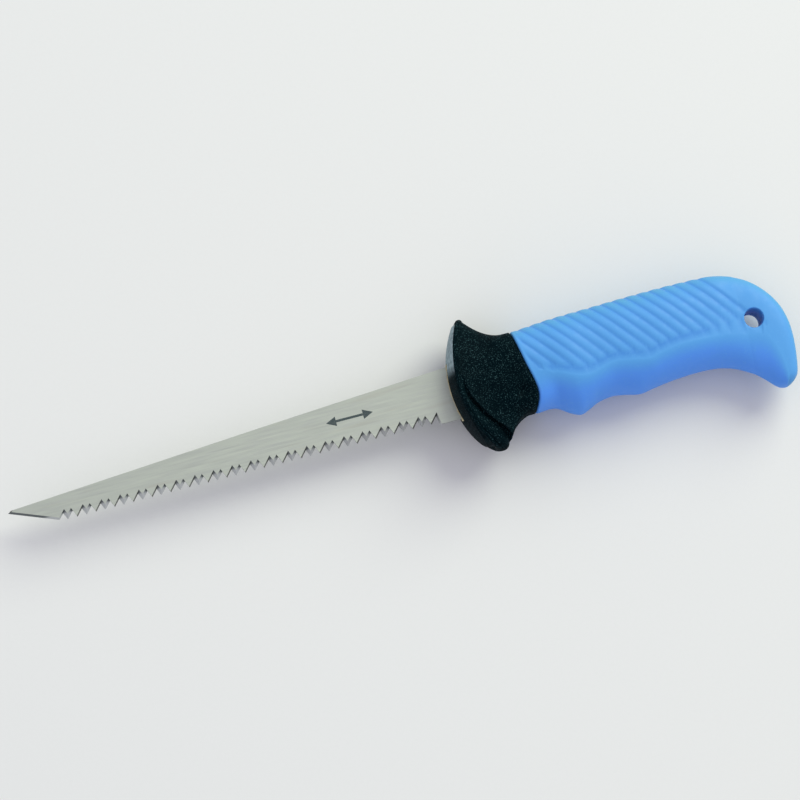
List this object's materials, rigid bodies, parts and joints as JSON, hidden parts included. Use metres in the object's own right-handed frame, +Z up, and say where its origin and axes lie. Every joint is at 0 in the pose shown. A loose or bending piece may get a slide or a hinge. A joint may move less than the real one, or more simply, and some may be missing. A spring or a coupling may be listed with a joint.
{
  "type": "drywall saw",
  "caption": "Fixed-blade jab saw: tapered steel blade with a ground point, oval finger guard and a ribbed soft grip with a hang hole.",
  "frame": {"origin": "middle of the bounding box's bottom face, with the saw lying on its side", "axes": "+X from the blade's point to the pommel along the line of tooth tips, +Y towards the blade's spine, +Z up through the saw's thickness"},
  "size_m": [0.266, 0.049, 0.0244],
  "materials": {
    "blade_steel": "satin, fine lengthwise grain",
    "guard_plastic": "black, fine spark texture",
    "grip_rubber": "soft matte blue",
    "core_plastic": "plain moulded",
    "pin_steel": "plain",
    "sealant_resin": "set resin bead"
  },
  "bodies": {
    "root": {"blade": "blade_steel", "guard": "guard_plastic", "grip": "grip_rubber", "core_left": "core_plastic", "core_right": "core_plastic", "tang_pin_front": "pin_steel", "tang_pin_rear": "pin_steel", "slot_sealant": "sealant_resin"}
  },
  "joints": []
}
